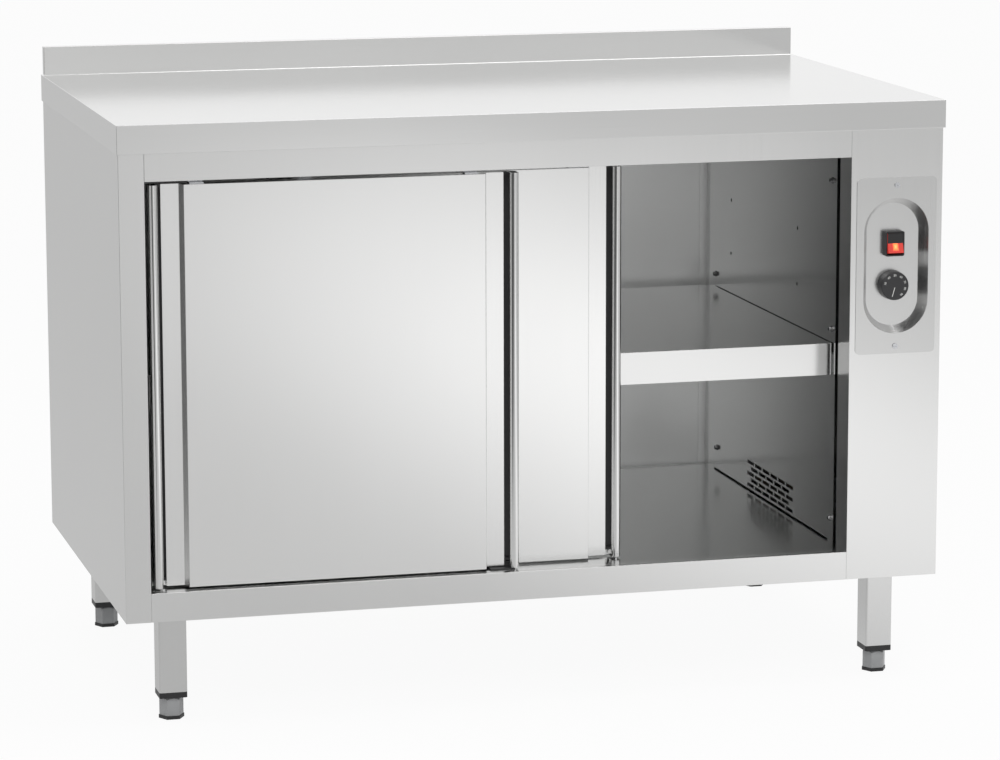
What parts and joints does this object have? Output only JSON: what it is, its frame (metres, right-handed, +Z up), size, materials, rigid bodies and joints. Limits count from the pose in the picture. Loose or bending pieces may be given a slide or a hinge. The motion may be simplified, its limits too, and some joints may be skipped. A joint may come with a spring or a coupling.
{
  "type": "plate warmer cabinet",
  "caption": "Free-standing heated cupboard with a steel worktop and upstand, two hanging sliding doors, a shelf, square legs with levelling feet and a recessed switch and thermostat.",
  "frame": {"origin": "on the floor, under the middle of the worktop", "axes": "+X to the right along the front, +Y from the front to the back, +Z up"},
  "size_m": [1.2, 0.7, 0.893],
  "materials": {
    "stainless_top": "satin, ground along the length",
    "stainless_body": "satin",
    "stainless_door": "satin",
    "stainless_grip": "satin",
    "stainless_inside": "bright rolled",
    "stainless_shelf": "satin",
    "stainless_plate": "satin pressed",
    "stainless_leg": "ground tube",
    "galvanised": "galvanised",
    "zinc": "bright zinc",
    "aluminium": "mill finish",
    "nylon_black": "matt",
    "nylon_white": "matt",
    "plastic_black": "moulded",
    "plastic_ivory": "moulded",
    "knob_black": "fine satin",
    "rocker_red": "translucent, lit from behind",
    "foot_grey": "moulded, satin",
    "rubber": "matt",
    "mineral_wool": "soft board",
    "motor_iron": "laminated",
    "heater_steel": "dark annealed"
  },
  "bodies": {
    "cabinet": {"worktop": "stainless_top", "worktop_stiffeners": "galvanised", "left_side_panel": "stainless_body", "right_side_panel": "stainless_body", "back_panel": "stainless_body", "underside_panel": "galvanised", "left_stile": "stainless_body", "top_rail": "stainless_body", "bottom_rail": "stainless_body", "control_fascia": "stainless_body", "inner_left_wall": "stainless_inside", "inner_back_wall": "stainless_inside", "ceiling_panel": "stainless_inside", "cabinet_floor": "stainless_inside", "partition": "stainless_inside", "insulation": "mineral_wool", "track_stops": "rubber", "door_track": "aluminium", "door_guide": "nylon_black", "shelf": "stainless_shelf", "shelf_pegs": "zinc", "control_plate": "stainless_plate", "plate_screws": "zinc", "switch_housing": "plastic_black", "thermostat_body": "zinc", "safety_thermostat": "plastic_black", "blower_housing": "galvanised", "blower_motor": "motor_iron", "heater_element": "heater_steel", "terminal_block": "plastic_ivory", "cable_gland": "plastic_black", "leg_front_left": "stainless_leg", "leg_front_right": "stainless_leg", "leg_rear_left": "stainless_leg", "leg_rear_right": "stainless_leg", "leg_ends": "plastic_black", "leg_mounts": "zinc"},
    "front_door": {"front_door_skin": "stainless_door", "front_door_back": "stainless_door", "front_door_grips": "stainless_grip", "front_door_channels": "plastic_black", "front_door_hangers": "zinc"},
    "front_roller_left": {"front_door_roller_left": "nylon_white"},
    "front_roller_right": {"front_door_roller_right": "nylon_white"},
    "rear_door": {"rear_door_skin": "stainless_door", "rear_door_back": "stainless_door", "rear_door_grips": "stainless_grip", "rear_door_channels": "plastic_black", "rear_door_hangers": "zinc"},
    "rear_roller_left": {"rear_door_roller_left": "nylon_white"},
    "rear_roller_right": {"rear_door_roller_right": "nylon_white"},
    "rocker": {"switch_rocker": "rocker_red"},
    "knob": {"thermostat_knob": "knob_black", "thermostat_shaft": "zinc"},
    "blower_wheel": {"blower_rotor": "galvanised"},
    "foot_front_left": {"foot_front_left": "foot_grey"},
    "foot_front_right": {"foot_front_right": "foot_grey"},
    "foot_rear_left": {"foot_rear_left": "foot_grey"},
    "foot_rear_right": {"foot_rear_right": "foot_grey"}
  },
  "joints": [
    {"name": "front_door_slide", "type": "slide", "parent": "cabinet", "child": "front_door", "axis": [1, 0, 0], "range_m": [0, 0.4795]},
    {"name": "rear_door_slide", "type": "slide", "parent": "cabinet", "child": "rear_door", "axis": [1, 0, 0], "range_m": [-0.159, 0.3205]},
    {"name": "front_roller_left_spin", "type": "hinge", "parent": "front_door", "child": "front_roller_left", "pos_m": [-0.486, -0.3207, 0.786], "axis": [0, 1, 0], "continuous": true},
    {"name": "front_roller_right_spin", "type": "hinge", "parent": "front_door", "child": "front_roller_right", "pos_m": [-0.0955, -0.3207, 0.786], "axis": [0, 1, 0], "continuous": true},
    {"name": "rear_roller_left_spin", "type": "hinge", "parent": "rear_door", "child": "rear_roller_left", "pos_m": [-0.327, -0.2907, 0.786], "axis": [0, 1, 0], "continuous": true},
    {"name": "rear_roller_right_spin", "type": "hinge", "parent": "rear_door", "child": "rear_roller_right", "pos_m": [0.0635, -0.2907, 0.786], "axis": [0, 1, 0], "continuous": true},
    {"name": "rocker_tilt", "type": "hinge", "parent": "cabinet", "child": "rocker", "pos_m": [0.529, -0.3362, 0.643], "axis": [1, 0, 0], "range_deg": [0, 20]},
    {"name": "knob_turn", "type": "hinge", "parent": "cabinet", "child": "knob", "pos_m": [0.529, -0.3292, 0.582], "axis": [0, -1, 0], "range_deg": [-164, 142]},
    {"name": "blower_spin", "type": "hinge", "parent": "cabinet", "child": "blower_wheel", "pos_m": [0.5162, 0.01, 0.22725], "axis": [0, 1, 0], "continuous": true},
    {"name": "foot_front_left_screw", "type": "slide", "parent": "cabinet", "child": "foot_front_left", "axis": [0, 0, 1], "range_m": [-0.05, 0]},
    {"name": "foot_front_right_screw", "type": "slide", "parent": "cabinet", "child": "foot_front_right", "axis": [0, 0, 1], "range_m": [-0.05, 0]},
    {"name": "foot_rear_left_screw", "type": "slide", "parent": "cabinet", "child": "foot_rear_left", "axis": [0, 0, 1], "range_m": [-0.05, 0]},
    {"name": "foot_rear_right_screw", "type": "slide", "parent": "cabinet", "child": "foot_rear_right", "axis": [0, 0, 1], "range_m": [-0.05, 0]}
  ],
  "couplings": [
    {"joint": "front_roller_left_spin", "follows": "front_door_slide", "rad_per_m": 90.909},
    {"joint": "front_roller_right_spin", "follows": "front_door_slide", "rad_per_m": 90.909},
    {"joint": "rear_roller_left_spin", "follows": "rear_door_slide", "rad_per_m": 90.909},
    {"joint": "rear_roller_right_spin", "follows": "rear_door_slide", "rad_per_m": 90.909}
  ]
}
